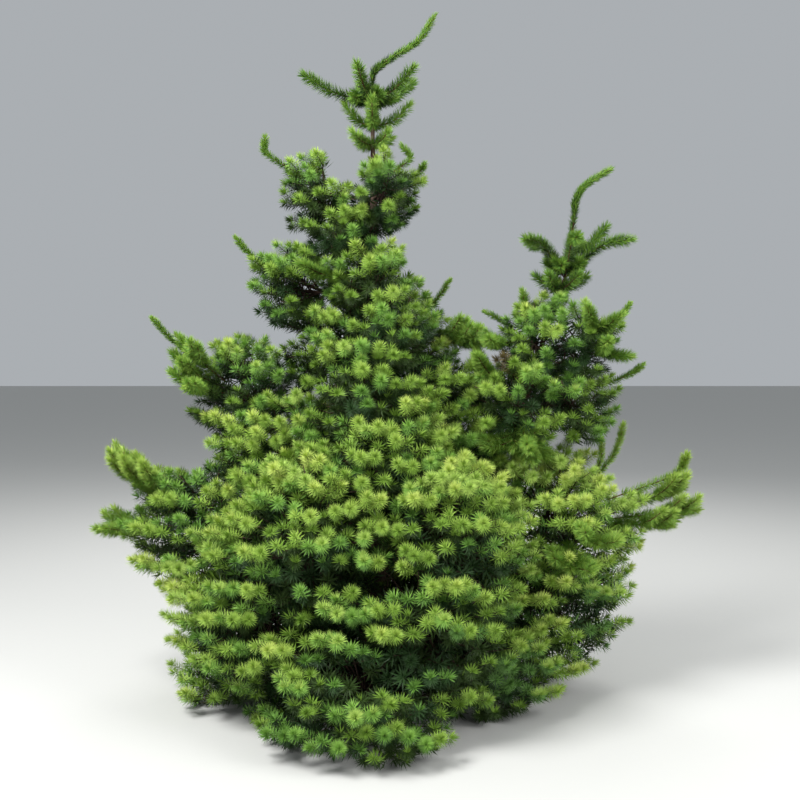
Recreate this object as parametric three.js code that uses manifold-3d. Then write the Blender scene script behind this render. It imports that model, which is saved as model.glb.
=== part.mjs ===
import * as THREE from "three";
import { mergeVertices } from "three/addons/utils/BufferGeometryUtils.js";
import Module from "manifold-3d";

// A young, very dense douglas fir, grown in the open, with a second leader on its right.
// Sizes are millimetres and angles degrees. +Z is up, +X is right and -Y is the front.
// The origin is the middle of the flat cut under the trunk, at ground level.

const wasm = await Module();
wasm.setup();

// Clearances
const GAP = 0.3; // between a limb and whatever meets it
const AIR = 14; // between neighbouring masses of foliage, measured level
const GROUND_CLEAR = 3; // the lowest needles stay this far above the ground
const MERGE = 1e-3; // vertices nearer than this are one vertex

// Trunk: true taper and a slight lean to the left, flared at the foot
const TRUNK = {
  route: [
    [0, 0, 0],
    [0, 0, 110],
    [8, 4, 700],
    [-12, 0, 1500],
    [-20, 0, 2250],
  ],
  foot: 46,
  tip: 5.5,
  flare: 26,
  flareHeight: 60,
  buttresses: 5,
  buttressDepth: 0.25, // share of the flare that comes and goes round the foot
  sides: 10,
  steps: 11,
};

// Second stem: leaves the trunk low down, swings out to the right and turns up
const SECOND_STEM = {
  route: [
    [4, 0, 420],
    [210, -20, 640],
    [450, -30, 900],
    [590, -35, 1200],
    [655, -32, 1450],
    [711, -30, 1582],
  ],
  foot: 27,
  tip: 5.5,
  sides: 6,
  steps: 10,
};

// A bough starts in its stem and ends where it enters its mass of foliage. Its rise and sag are
// shares of how far out the mass stands, and it ends at a share of the way to the mass's middle.
const BOUGH = { foot: 15, tip: 6.5, rise: 0.3, sag: 0.03, ends: 0.62, sides: 4, steps: 3 };

// The stem of a mass: how far below the middle it leaves the trunk, as a share of the half width
const TWIG = { drop: 0.2, foot: 6, tip: 5, sides: 4, steps: 1 };

// Foliage masses are wider than high by this factor
const FLATNESS = 1.15;

// Tiers from the ground up: the height of the middle, the half width of a mass, how many go
// round, the bearing of the first and the reach of its tips to the left, right, front and back
const TIERS = [
  { name: "skirt", z: 145, bulk: 400, count: 5, first: -94, reach: [850, 775, 965, 840] },
  { name: "lower", z: 385, bulk: 370, count: 5, first: -72, reach: [900, 1030, 870, 860] },
  { name: "broad", z: 640, bulk: 340, count: 6, first: -60, reach: [1040, 1060, 790, 780] },
  { name: "middle", z: 890, bulk: 310, count: 4, first: -85, reach: [700, 580, 620, 620] },
  { name: "shelf", z: 1130, bulk: 270, count: 4, first: -100, reach: [830, 430, 490, 490] },
  { name: "neck", z: 1345, bulk: 248, count: 3, first: -75, reach: [390, 380, 390, 390] },
  { name: "upper", z: 1545, bulk: 195, count: 4, first: -90, reach: [520, 150, 320, 320] },
  { name: "high", z: 1750, bulk: 165, count: 2, first: -160, reach: [340, 110, 270, 270] },
  { name: "crest", z: 1915, bulk: 168, count: 3, first: -60, reach: [390, 220, 275, 275] },
];

// The tiers round the second stem
const SECOND_TIERS = [
  { name: "second_low", z: 1130, bulk: 200, count: 3, first: -120, reach: [230, 400, 300, 300] },
  { name: "second_high", z: 1345, bulk: 190, count: 2, first: -20, reach: [230, 365, 260, 260] },
  { name: "second_neck", z: 1497, bulk: 74, count: 1, first: 180, reach: [74, 80, 74, 74] },
];

// Masses in these tiers that stand this far out from the stem have a bough of their own
const BOUGH_TIERS = ["lower", "broad", "shelf"];
const BOUGH_REACH = 400;

// A mass is a dense core with sprays of needles standing out of it. All are shares of the way
// from the mass's centre to its ellipsoid, and nothing passes the walls of the mass's space.
const CORE = 0.62;
const CORE_LUMP = 0.06; // how much the core swells and shrinks
const HIDDEN_SPRAY = 0.84; // sprays that face a neighbour stay short
const SPRAY = { tip: 0.93, tipSpread: 0.07, needle: 0.88, needleSpread: 0.05 };
const SMALL = 250; // a mass with a smaller half width than this has 12 sprays in place of 32
const OPEN = 0.8; // where a space goes this far to its ellipsoid it counts as open to the air
const NEEDLE_LEAN = 0.62; // how far out from its spray's middle a needle points
const TURNS = [1.7, 0.9, 2.3]; // each mass is turned by so many radians more than the last

// A long shoot starts part of the way from its mass's middle to its tip and bends further on.
// Its rings swell to its needles' spread and shrink to a share of it, and its tip is slim.
const SHOOT = { start: 0.35, bend: 0.55, teeth: 5, sides: 3, waist: 0.55, slimming: 0.6 };

// Long thin shoots that stand out of the crown: the mass that carries each, its tip, how far
// it bows to the right and the spread of its needles
const LONG_SHOOTS = [
  { mass: "crest_foliage_3", tip: [-426, -20, 2112], bow: -50, spread: 24 },
  { mass: "crest_foliage_1", tip: [92, -60, 2075], bow: 50, spread: 22 },
  { mass: "crest_foliage_2", tip: [177, 20, 2018], bow: 20, spread: 24 },
  { mass: "upper_foliage_4", tip: [-539, -20, 1736], bow: -10, spread: 22 },
  { mass: "neck_foliage_2", tip: [276, 20, 1578], bow: 10, spread: 20 },
  { mass: "second_high_foliage_2", tip: [551, -30, 1531], bow: 0, spread: 28 },
  { mass: "second_high_foliage_2", tip: [414, 40, 1459], bow: 10, spread: 20 },
  { mass: "second_high_foliage_1", tip: [947, -90, 1483], bow: 20, spread: 20 },
  { mass: "second_low_foliage_2", tip: [1020, 0, 1253], bow: 20, spread: 20 },
  { mass: "shelf_foliage_4", tip: [-862, -20, 1433], bow: -20, spread: 20 },
  { mass: "broad_foliage_5", tip: [-1081, -30, 897], bow: -30, spread: 36 },
  { mass: "broad_foliage_5", tip: [-1070, -30, 619], bow: 0, spread: 36 },
  { mass: "broad_foliage_2", tip: [853, -60, 969], bow: 30, spread: 20 },
  { mass: "broad_foliage_2", tip: [1177, -60, 912], bow: 60, spread: 28 },
  { mass: "broad_foliage_2", tip: [1219, -60, 701], bow: 0, spread: 34 },
  { mass: "broad_foliage_2", tip: [1110, -100, 650], bow: 0, spread: 34 },
];

// Whorls of shoots round the bare top of each stem: the height they leave it, how many go
// round, the bearing of the first, how far they rise and reach, how far they dip on the way as a
// share of their rise, and the spread of their needles. A dip below zero makes them arch.
// The top whorl of each stem carries its leader, given by its route.
const WHORLS = [
  {
    name: "leader_foliage",
    stem: TRUNK,
    z: 2250,
    count: 5,
    first: 180,
    rise: 100,
    reach: [258, 215, 160, 160],
    dip: 0.2,
    spread: 36,
    leader: [[-19, 0, 2345], [11, 0, 2387], [85, 0, 2434], [157, 0, 2483], [217, 0, 2572]],
  },
  {
    name: "spire_foliage_1",
    stem: TRUNK,
    z: 2160,
    count: 4,
    first: 0,
    rise: 78,
    reach: [102, 140, 110, 110],
    dip: 0.3,
    spread: 33,
  },
  {
    name: "spire_foliage_2",
    stem: TRUNK,
    z: 2088,
    count: 4,
    first: 40,
    rise: 36,
    reach: [92, 80, 90, 90],
    dip: 0.3,
    spread: 31,
  },
  {
    name: "second_leader_foliage",
    stem: SECOND_STEM,
    z: 1582,
    count: 5,
    first: -12,
    rise: 142,
    reach: [172, 250, 165, 165],
    dip: -0.3,
    spread: 35,
    leader: [[744, -30, 1807], [751, -30, 1874], [785, -30, 1931], [881, -30, 1993]],
  },
];
const WHORL_SHOOT = { bend: 0.55, teeth: 4, sides: 3 };
const LEADER_SPREAD = 23;
const LEADER_TEETH = 2; // for each point of its route

const BARK = new THREE.MeshStandardMaterial({ color: 0x5b4a3a, roughness: 0.95 });
const needleGreen = (color) => new THREE.MeshStandardMaterial({ color, roughness: 0.75 });
const NEEDLE_GREENS = [0x46611f, 0x55782a, 0x668b33, 0x3d5722].map(needleGreen);
const YOUNG_GREEN = needleGreen(0x5f7f32);

const UP = new THREE.Vector3(0, 0, 1);
const vector = (p) => new THREE.Vector3(...p);
const radians = THREE.MathUtils.degToRad;

// A repeatable number from 0 to 1 for a pair of whole numbers: the fraction left of a large
// multiple of a sine
const SINE_STEPS = [12.9898, 78.233];
const SINE_SCALE = 43758.5453;

function chance(first, second) {
  const mixed = Math.sin(first * SINE_STEPS[0] + second * SINE_STEPS[1]) * SINE_SCALE;
  return mixed - Math.floor(mixed);
}

function solidFrom(geometry) {
  geometry.deleteAttribute("normal");
  geometry.deleteAttribute("uv");
  const merged = mergeVertices(geometry, MERGE);
  return new wasm.Manifold(
    new wasm.Mesh({
      numProp: 3,
      vertProperties: merged.attributes.position.array,
      triVerts: new Uint32Array(merged.index.array),
    }),
  );
}

// Limbs are cylinders bent along a smooth route. The level vector that is square to the
// route's chord keeps the rings from twisting. Growing by a clearance makes the cutter.
function curveOf(route) {
  return new THREE.CatmullRomCurve3(route.map(vector), false, "catmullrom", 0.5);
}

const UPRIGHT = 0.05; // a chord with a smaller level share than this has no level vector of its own

function bentTube(route, radiusAt, { sides, steps }, grow = 0) {
  const curve = curveOf(route);
  const chord = curve.getPoint(1).sub(curve.getPoint(0));
  const level = new THREE.Vector3().crossVectors(chord, UP);
  if (level.length() < chord.length() * UPRIGHT) level.set(0, 1, 0);
  const tube = new THREE.CylinderGeometry(1, 1, 1, sides, steps);
  const place = tube.getAttribute("position");
  for (let i = 0; i < place.count; i += 1) {
    const t = place.getY(i) + 0.5;
    const along = curve.getTangent(t);
    const side = level.clone().addScaledVector(along, -level.dot(along)).normalize();
    const other = new THREE.Vector3().crossVectors(side, along);
    const angle = Math.atan2(place.getZ(i), place.getX(i));
    const radius = Math.hypot(place.getX(i), place.getZ(i)) * (radiusAt(t, angle) + grow);
    const end = t === 0 ? -grow : t === 1 ? grow : 0;
    const point = curve
      .getPoint(t)
      .addScaledVector(side, radius * Math.cos(angle))
      .addScaledVector(other, radius * Math.sin(angle))
      .addScaledVector(along, end);
    place.setXYZ(i, point.x, point.y, point.z);
  }
  return solidFrom(tube);
}

const taper = (foot, tip) => (t) => THREE.MathUtils.lerp(foot, tip, t);

function trunkRadius(t, angle) {
  const curve = curveOf(TRUNK.route);
  const height = curve.getPoint(t).z / curve.getPoint(1).z;
  const flare = TRUNK.flare * Math.exp((-height * curve.getPoint(1).z) / TRUNK.flareHeight);
  const lobes = 1 - TRUNK.buttressDepth * (1 - Math.cos(TRUNK.buttresses * angle));
  return THREE.MathUtils.lerp(TRUNK.foot, TRUNK.tip, height) + flare * lobes;
}

const trunkSolid = (grow) => bentTube(TRUNK.route, trunkRadius, TRUNK, grow);
const secondStemSolid = (grow) =>
  bentTube(SECOND_STEM.route, taper(SECOND_STEM.foot, SECOND_STEM.tip), SECOND_STEM, grow);

// The point of a stem's middle line at a height, between its lowest and highest point
const HALVINGS = 30;

function onStem(stem, height) {
  const curve = curveOf(stem.route);
  let low = 0;
  let high = 1;
  for (let i = 0; i < HALVINGS; i += 1) {
    const middle = (low + high) / 2;
    if (curve.getPoint(middle).z < height) low = middle;
    else high = middle;
  }
  return curve.getPoint(low);
}

// The reach of a tier in a direction, on an ellipse of its left, right, front and back reach
function reachOn([left, right, front, back], bearing) {
  const across = Math.cos(bearing) < 0 ? left : right;
  const deep = Math.sin(bearing) < 0 ? front : back;
  return 1 / Math.hypot(Math.cos(bearing) / across, Math.sin(bearing) / deep);
}

const bearingOf = (first, i, count) => radians(first + (i * 360) / count);

// Each mass has a stem, a centre and a half width, spaced evenly round its tier
function massesOf(tiers, stem) {
  return tiers.flatMap(({ name, z, bulk, count, first, reach }) =>
    Array.from({ length: count }, (_, i) => {
      const bearing = bearingOf(first, i, count);
      const out = reachOn(reach, bearing) - bulk;
      const centre = onStem(stem, z);
      centre.add(new THREE.Vector3(out * Math.cos(bearing), out * Math.sin(bearing), 0));
      return { name: `${name}_foliage_${i + 1}`, tier: name, stem, centre, bulk, out };
    }),
  );
}

const masses = [...massesOf(TIERS, TRUNK), ...massesOf(SECOND_TIERS, SECOND_STEM)];

// A mass keeps to its own space: an ellipsoid, cut off where a neighbour's ellipsoid is nearer
// and just above the ground. This is how far that space goes from the centre in a direction,
// and whether it is open to the air there.
const stretched = (v) => new THREE.Vector3(v.x, v.y, v.z * FLATNESS);

function spaceTowards(mass, direction) {
  const ray = stretched(direction);
  const full = mass.bulk / ray.length();
  let far = full;
  for (const other of masses) {
    if (other === mass) continue;
    const offset = stretched(other.centre.clone().sub(mass.centre));
    const distance = offset.length();
    if (distance > mass.bulk + other.bulk) continue;
    const wall = (distance ** 2 + mass.bulk ** 2 - other.bulk ** 2) / (2 * distance) - AIR / 2;
    const towards = ray.dot(offset) / distance;
    if (towards > 0) far = Math.min(far, wall / towards);
  }
  if (direction.z < 0) far = Math.min(far, (GROUND_CLEAR - mass.centre.z) / direction.z);
  return { far, full, open: far > full * OPEN };
}

// The faces of a ball of twenty triangles, each as its three corners
function twentyFaces() {
  const place = new THREE.IcosahedronGeometry(1, 0).getAttribute("position");
  return Array.from({ length: place.count / 3 }, (_, face) =>
    [0, 1, 2].map((k) => new THREE.Vector3().fromBufferAttribute(place, 3 * face + k)),
  );
}

// The direction between two others that lies so many times nearer the first
const between = (from, to, near) => from.clone().multiplyScalar(near).add(to).normalize();

// The sprays of a ball, spread evenly over it. A spray has petals round it, each given by the
// direction of the spray's middle and of two points in the valley round it. 12 sprays stand on
// the corners of the twenty faces and leave a plain facet on each.
function fewPetals() {
  return twentyFaces().flatMap((corners) => {
    const rim = corners.map((corner, k) => between(corner, corners[(k + 1) % 3], 1));
    return [[null, ...rim], ...corners.map((corner, k) => [corner, rim[k], rim[(k + 2) % 3]])];
  });
}

// 32 sprays stand on the corners and the middles, like the panels of a football
function manyPetals() {
  return twentyFaces().flatMap((corners) => {
    const middle = corners[0].clone().add(corners[1]).add(corners[2]).normalize();
    return corners.flatMap((corner, k) => {
      const next = corners[(k + 1) % 3];
      const last = corners[(k + 2) % 3];
      return [
        [corner, between(corner, next, 2), between(corner, last, 2)],
        [middle, between(corner, next, 2), between(next, corner, 2)],
        [middle, between(corner, last, 2), between(corner, next, 2)],
      ];
    });
  });
}

const FEW_PETALS = fewPetals();
const MANY_PETALS = manyPetals();

// A whole number that stands for a direction, however it was reached
const KEY_STEPS = 40;
const KEY_STRIDE = 90;

function keyOf(direction) {
  const [x, y, z] = direction.toArray().map((part) => Math.round(KEY_STEPS * part));
  return x + KEY_STRIDE * (y + KEY_STRIDE * z);
}

// The core and its sprays in one surface round the mass's centre: a spray that faces the open
// air is drawn out to the edge of the space, with a needle standing on each of its petals.
function crownSolid(mass, index) {
  const turn = new THREE.Euler(...TURNS.map((each) => each * index));
  const points = [];
  const vary = (direction) => chance(index, keyOf(direction));
  const at = (direction, share) => {
    const { far, full } = spaceTowards(mass, direction);
    return mass.centre.clone().addScaledVector(direction, Math.min(full * share, far));
  };
  const valleyAt = (still) => {
    const share = CORE + CORE_LUMP * (2 * vary(still) - 1);
    return at(still.clone().applyEuler(turn), share);
  };
  for (const [spray, ...rim] of mass.bulk < SMALL ? FEW_PETALS : MANY_PETALS) {
    const [a, b, c] = rim.map(valleyAt);
    if (!spray) {
      points.push(a, b, c);
      continue;
    }
    const middle = spray.clone().applyEuler(turn);
    if (!spaceTowards(mass, middle).open) {
      points.push(at(middle, HIDDEN_SPRAY), a, b);
      continue;
    }
    const tip = at(middle, SPRAY.tip + SPRAY.tipSpread * vary(spray));
    const side = rim[0].clone().add(rim[1]).normalize().applyEuler(turn);
    const needle = at(
      middle.clone().lerp(side, NEEDLE_LEAN).normalize(),
      SPRAY.needle + SPRAY.needleSpread * vary(rim[0]),
    );
    points.push(tip, a, needle, a, b, needle, b, tip, needle);
  }
  return solidFrom(new THREE.BufferGeometry().setFromPoints(points));
}

// A long thin shoot: a rod whose rings swell and shrink, so that its outline is toothed
function longShoot(route, spread, { teeth, sides }) {
  const swell = (t) => (Math.round(t * teeth) % 2 ? 1 : SHOOT.waist);
  const radius = (t) => spread * swell(t) * (1 - SHOOT.slimming * t ** 4);
  return bentTube(route, radius, { sides, steps: teeth });
}

function shootOf(mass, { tip, bow, spread }) {
  const from = mass.centre.clone().lerp(vector(tip), SHOOT.start);
  const middle = from.clone().lerp(vector(tip), SHOOT.bend).add(new THREE.Vector3(bow, 0, 0));
  return longShoot([from.toArray(), middle.toArray(), tip], spread, SHOOT);
}

function largestBody(solid) {
  return solid.decompose().sort((a, b) => b.volume() - a.volume())[0];
}

const joined = (solids) => solids.reduce((all, one) => all.add(one));
const cutBy = (solid, cutters) => cutters.reduce((left, cutter) => left.subtract(cutter), solid);

// A mesh stands at its own place, with its geometry round that place
function meshOf(name, solid, material, place) {
  const { vertProperties, triVerts } = solid.getMesh();
  const geometry = new THREE.BufferGeometry();
  geometry.setAttribute("position", new THREE.BufferAttribute(vertProperties, 3));
  geometry.setIndex(new THREE.BufferAttribute(triVerts, 1));
  geometry.translate(-place.x, -place.y, -place.z);
  geometry.computeVertexNormals();
  const mesh = new THREE.Mesh(geometry, material);
  mesh.name = name;
  mesh.position.copy(place);
  return mesh;
}

// The route of a bough: out of the stem lower than its mass, then rising to it
function boughRoute(mass) {
  const from = onStem(mass.stem, mass.centre.z - mass.out * BOUGH.rise);
  const tip = from.clone().lerp(mass.centre, BOUGH.ends);
  const middle = from.clone().lerp(tip, 0.5).add(new THREE.Vector3(0, 0, -mass.out * BOUGH.sag));
  return [from, middle, tip].map((p) => p.toArray());
}

const boughs = masses
  .filter(({ tier, out }) => BOUGH_TIERS.includes(tier) && out > BOUGH_REACH)
  .map((mass) => ({ name: mass.name.replace("foliage", "bough"), mass, route: boughRoute(mass) }));

const boughSolid = ({ route }, grow) =>
  bentTube(route, taper(BOUGH.foot, BOUGH.tip), BOUGH, grow);

// The stem of a mass: from its bough's tip, or from the trunk, to its centre
function twigStem(mass, grow) {
  const bough = boughs.find((each) => each.mass === mass);
  const low = mass.centre.z - mass.bulk * TWIG.drop;
  const from = bough ? vector(bough.route.at(-1)) : onStem(mass.stem, low);
  return bentTube([from.toArray(), mass.centre.toArray()], taper(TWIG.foot, TWIG.tip), TWIG, grow);
}

function massSolid(mass, index, cutters) {
  const shoots = LONG_SHOOTS.filter((shoot) => shoot.mass === mass.name).map((shoot) =>
    shootOf(mass, shoot),
  );
  const whole = joined([crownSolid(mass, index), twigStem(mass), ...shoots]);
  return largestBody(cutBy(whole, cutters));
}

// A whorl's shoots leave one point of the stem, dip or arch a little and rise to their tips
function whorlRoute({ stem, z, count, first, rise, reach, dip }, i) {
  const bearing = bearingOf(first, i, count);
  const out = new THREE.Vector3(Math.cos(bearing), Math.sin(bearing), 0);
  out.multiplyScalar(reachOn(reach, bearing)).setZ(rise);
  const foot = onStem(stem, z);
  const bend = foot.clone().addScaledVector(out, WHORL_SHOOT.bend);
  bend.z -= rise * dip;
  return [foot, bend, foot.clone().add(out)].map((p) => p.toArray());
}

function whorlSolid(whorl, cutters) {
  const shoots = Array.from({ length: whorl.count }, (_, i) =>
    longShoot(whorlRoute(whorl, i), whorl.spread, WHORL_SHOOT),
  );
  if (whorl.leader) {
    const route = [onStem(whorl.stem, whorl.z).toArray(), ...whorl.leader];
    const teeth = LEADER_TEETH * route.length;
    shoots.push(longShoot(route, LEADER_SPREAD, { ...WHORL_SHOOT, teeth }));
  }
  return largestBody(cutBy(joined(shoots), cutters));
}

const tree = new THREE.Group();
const limbs = new THREE.Group();
const foliage = new THREE.Group();
tree.add(limbs, foliage);

const trunkCutter = trunkSolid(GAP);
const stemCutter = secondStemSolid(GAP);
const boughCutters = boughs.map((bough) => boughSolid(bough, GAP));
const twigCutters = masses.map((mass) => twigStem(mass, GAP));

limbs.add(meshOf("trunk", trunkSolid(0), BARK, new THREE.Vector3()));
const secondStem = largestBody(cutBy(secondStemSolid(0), [trunkCutter]));
limbs.add(meshOf("second_stem", secondStem, BARK, vector(SECOND_STEM.route[0])));
for (const bough of boughs) {
  const solid = largestBody(cutBy(boughSolid(bough, 0), [trunkCutter, stemCutter]));
  limbs.add(meshOf(bough.name, solid, BARK, vector(bough.route[0])));
}
masses.forEach((mass, index) => {
  const otherStems = twigCutters.filter((_, i) => i !== index);
  const solid = massSolid(mass, index, [trunkCutter, stemCutter, ...boughCutters, ...otherStems]);
  foliage.add(meshOf(mass.name, solid, NEEDLE_GREENS[index % NEEDLE_GREENS.length], mass.centre));
});
for (const whorl of WHORLS) {
  const solid = whorlSolid(whorl, [trunkCutter, stemCutter]);
  foliage.add(meshOf(whorl.name, solid, YOUNG_GREEN, onStem(whorl.stem, whorl.z)));
}

export default tree;
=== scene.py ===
"""The looks of a young, dense douglas fir, grown on its packed limbs.

Every mass of foliage keeps to the space that the solids give it. In that space, shelves of
branches leave the mass's stem, twigs leave the branches, and shoots with needles end the twigs.
Lengths are metres, +Z is up, -Y is the front, and the origin is under the trunk.
"""

import functools
import math

import bpy
import numpy as np
from bpy.props import FloatProperty, FloatVectorProperty, IntProperty, PointerProperty
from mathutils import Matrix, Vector
from mathutils.kdtree import KDTree


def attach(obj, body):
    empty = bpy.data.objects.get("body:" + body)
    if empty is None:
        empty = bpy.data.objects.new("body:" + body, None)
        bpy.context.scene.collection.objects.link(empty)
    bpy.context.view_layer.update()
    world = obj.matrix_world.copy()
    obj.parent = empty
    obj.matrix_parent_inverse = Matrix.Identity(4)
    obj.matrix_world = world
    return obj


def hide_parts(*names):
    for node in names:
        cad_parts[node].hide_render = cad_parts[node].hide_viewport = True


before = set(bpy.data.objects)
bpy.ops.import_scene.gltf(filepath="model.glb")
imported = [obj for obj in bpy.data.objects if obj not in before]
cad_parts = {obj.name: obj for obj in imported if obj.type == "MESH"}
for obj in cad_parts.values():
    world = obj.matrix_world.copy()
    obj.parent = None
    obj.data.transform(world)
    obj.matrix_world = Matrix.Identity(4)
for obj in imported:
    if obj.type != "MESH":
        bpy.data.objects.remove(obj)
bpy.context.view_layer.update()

bl_info = {
    "name": "Young Douglas Fir",
    "version": (1, 0, 0),
    "blender": (4, 5, 0),
    "location": "View3D > Sidebar > Fir",
    "description": "Grows bark, twigs and needles on the limbs of a young douglas fir",
    "category": "Object",
}

BODY = "root"
MM = 0.001
UP = np.array([0.0, 0.0, 1.0])
GOLDEN_ANGLE = math.pi * (3 - math.sqrt(5))
CROWN_SEED = 11
NEEDLE_SEED = 23

# The stems: the route of the middle line, the radii at its ends, the root flare, the steps along
# and round the bark, and the height of its relief as a share of the radius. The second stem has
# no flare.
TRUNK = {
    "route": MM * np.array([[0, 0, 0], [0, 0, 110], [8, 4, 700], [-12, 0, 1500], [-20, 0, 2250]]),
    "foot": 0.046,
    "tip": 0.0055,
    "flare": 0.026,
    "flare_height": 0.06,
    "buttresses": 5,
    "buttress_depth": 0.25,
    "steps": (320, 32),
    "relief": 0.035,
}
SECOND_STEM = TRUNK | {
    "route": MM * np.array([
        [4, 0, 420], [210, -20, 640], [450, -30, 900],
        [590, -35, 1200], [655, -32, 1450], [711, -30, 1582],
    ]),
    "foot": 0.027,
    "flare": 0.0,
    "steps": (200, 20),
    "relief": 0.03,
}
# A bough rises to its mass and sags by shares of the mass's reach. It ends at a share of its way.
BOUGH = {"radii": (0.015, 0.0065), "rise": 0.3, "sag": 0.03, "ends": 0.62, "steps": (40, 8)}
BOUGH_TIERS = ("lower", "broad", "shelf")
BOUGH_REACH = 0.4  # masses of these tiers that stand further out than this have a bough
BOUGH_WAVE = 0.04  # how much a bough's radius varies
STEM_DROP = 0.2  # how far below its middle a mass's stem leaves the trunk, in half widths

# Radii of the wood from foot to tip
STEM_RADII = (0.0075, 0.0065, 0.005)
BRANCH_RADII = (0.0042, 0.002)
TWIG_RADII = (0.0019, 0.0016, 0.0011)
SHORT_TWIG_RADII = (0.0019, 0.0012)
SHOOT_RADII = (0.003, 0.0015)
LEADER_RADII = (0.0048, 0.0026)

# Foliage masses: wider than high by this factor, and this far above the ground
FLATNESS = 1.15
GROUND_CLEAR = 0.003

# Tiers from the ground up, in millimetres: height of the middle, half width, how many go round,
# bearing of the first, reach to the left, right, front and back, and how fresh the needles are,
# with painted shade on the low skirt and painted light on the mound of the lower, broad and
# middle tiers
TIERS = (
    ("skirt", 145, 400, 5, -94, (850, 775, 965, 840), 0.56),
    ("lower", 385, 370, 5, -72, (900, 1030, 870, 860), 0.64),
    ("broad", 640, 340, 6, -60, (1040, 1060, 790, 780), 0.68),
    ("middle", 890, 310, 4, -85, (700, 580, 620, 620), 0.64),
    ("shelf", 1130, 270, 4, -100, (830, 430, 490, 490), 0.48),
    ("neck", 1345, 248, 3, -75, (390, 380, 390, 390), 0.46),
    ("upper", 1545, 195, 4, -90, (520, 150, 320, 320), 0.46),
    ("high", 1750, 165, 2, -160, (340, 110, 270, 270), 0.42),
    ("crest", 1915, 168, 3, -60, (390, 220, 275, 275), 0.43),
)
SECOND_TIERS = (
    ("second_low", 1130, 200, 3, -120, (230, 400, 300, 300), 0.5),
    ("second_high", 1345, 190, 2, -20, (230, 365, 260, 260), 0.46),
    ("second_neck", 1497, 74, 1, 180, (74, 80, 74, 74), 0.38),
)

# Long shoots that stand out of the crown: the mass that carries them, and for each the place of
# its tip, its bow to the right and how far its needles spread, in millimetres
LONG_SHOOTS = (
    ("crest_foliage_3", (-426, -20, 2112, -50, 24)),
    ("crest_foliage_1", (92, -60, 2075, 50, 22)),
    ("crest_foliage_2", (177, 20, 2018, 20, 24)),
    ("upper_foliage_4", (-539, -20, 1736, -10, 22)),
    ("upper_foliage_1", (-235, -110, 1600, 0, 34)),
    ("neck_foliage_2", (276, 20, 1578, 10, 20), (330, -20, 1365, 0, 34), (385, -60, 1335, 0, 34)),
    ("second_high_foliage_2", (551, -30, 1531, 0, 28), (414, 40, 1459, 10, 20)),
    (
        "second_high_foliage_1",
        (947, -90, 1483, 20, 20), (835, -140, 1305, 0, 34), (805, -185, 1390, 0, 34),
    ),
    ("second_low_foliage_2", (1020, 0, 1253, 20, 20)),
    ("shelf_foliage_4", (-862, -20, 1433, -20, 20)),
    (
        "broad_foliage_5",
        (-1000, -30, 888, -30, 34), (-950, -70, 868, -15, 36),
        (-885, -100, 852, -5, 36), (-1035, -30, 619, 0, 36),
    ),
    (
        "shelf_foliage_4",
        (-715, -80, 1305, 0, 34), (-740, -50, 1240, 0, 34), (-715, -110, 1170, 0, 34),
    ),
    ("second_high_foliage_2", (435, -80, 1335, 0, 34)),
    ("second_low_foliage_1", (400, -110, 1240, 0, 34)),
    (
        "broad_foliage_2",
        (1165, -40, 785, 20, 36), (853, -60, 969, 30, 20), (1177, -60, 912, 85, 28),
        (1219, -60, 701, 0, 34), (1110, -100, 650, 0, 34), (935, -60, 1030, 30, 22),
        (795, -270, 610, 0, 36), (700, -290, 520, 0, 36),
    ),
    ("middle_foliage_2", (600, -150, 965, 0, 36)),
    ("second_low_foliage_1", (505, -170, 950, 0, 36), (585, -150, 945, 0, 36)),
)
LONG_START = 0.35  # where a long shoot starts on the way from its mass's middle to its tip
LONG_BEND = 0.55  # where it bends, as a share of its own way
SPRAY_SPREAD = 34  # where its needles spread this far or more, it has side shoots
# Side shoots leave in pairs. Their way goes ahead, beside and up by the first three numbers, and
# the last one lifts one of a pair and lowers the other.
SIDE_PLACES = (0.5, 0.72)
SIDE_LENGTH = 0.17
SIDE_WAY = (0.75, 0.55, 0.35, 0.2)
SIDE_SAG = 0.06
# The short ones at the foot of each shoot of a leader's whorl
FOOT_PLACE = 0.12
FOOT_LENGTH = 0.06
FOOT_WAY = (0.5, 0.7, 0, 0.1)

# Whorls and single shoots on the bare tops: node, stem, height, how many, first bearing, rise,
# reach to the left, right, front and back, dip as a share of the rise, spread of the needles, and
# the leader's route, in millimetres
WHORLS = (
    (
        "leader_foliage", TRUNK, 2250, 5, 180, 100, (258, 215, 160, 160), 0.2, 36,
        ((-19, 0, 2345), (11, 0, 2387), (85, 0, 2434), (157, 0, 2483), (217, 0, 2572)),
    ),
    ("spire_foliage_1", TRUNK, 2160, 4, 0, 78, (102, 140, 110, 110), 0.3, 35, ()),
    ("spire_foliage_2", TRUNK, 2088, 4, 40, 36, (92, 84, 90, 90), 0.3, 36, ()),
    (
        "second_leader_foliage", SECOND_STEM, 1582, 5, -12, 142, (172, 250, 165, 165), -0.3, 35,
        ((744, -30, 1807), (751, -30, 1874), (785, -30, 1931), (881, -30, 1993)),
    ),
    ("second_leader_foliage", SECOND_STEM, 1582, 1, 25, 205, (195, 195, 165, 165), 0, 33, ()),
    ("second_leader_foliage", SECOND_STEM, 1533, 5, 20, 58, (85, 125, 90, 90), 0.1, 35, ()),
)
WHORL_BEND = 0.55
LEADER_SPREAD = 22 * MM
LONG_BARE, WHORL_BARE, LEADER_BARE = 0.1, 0.05, 0.02  # shares that are bare at the foot

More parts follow.
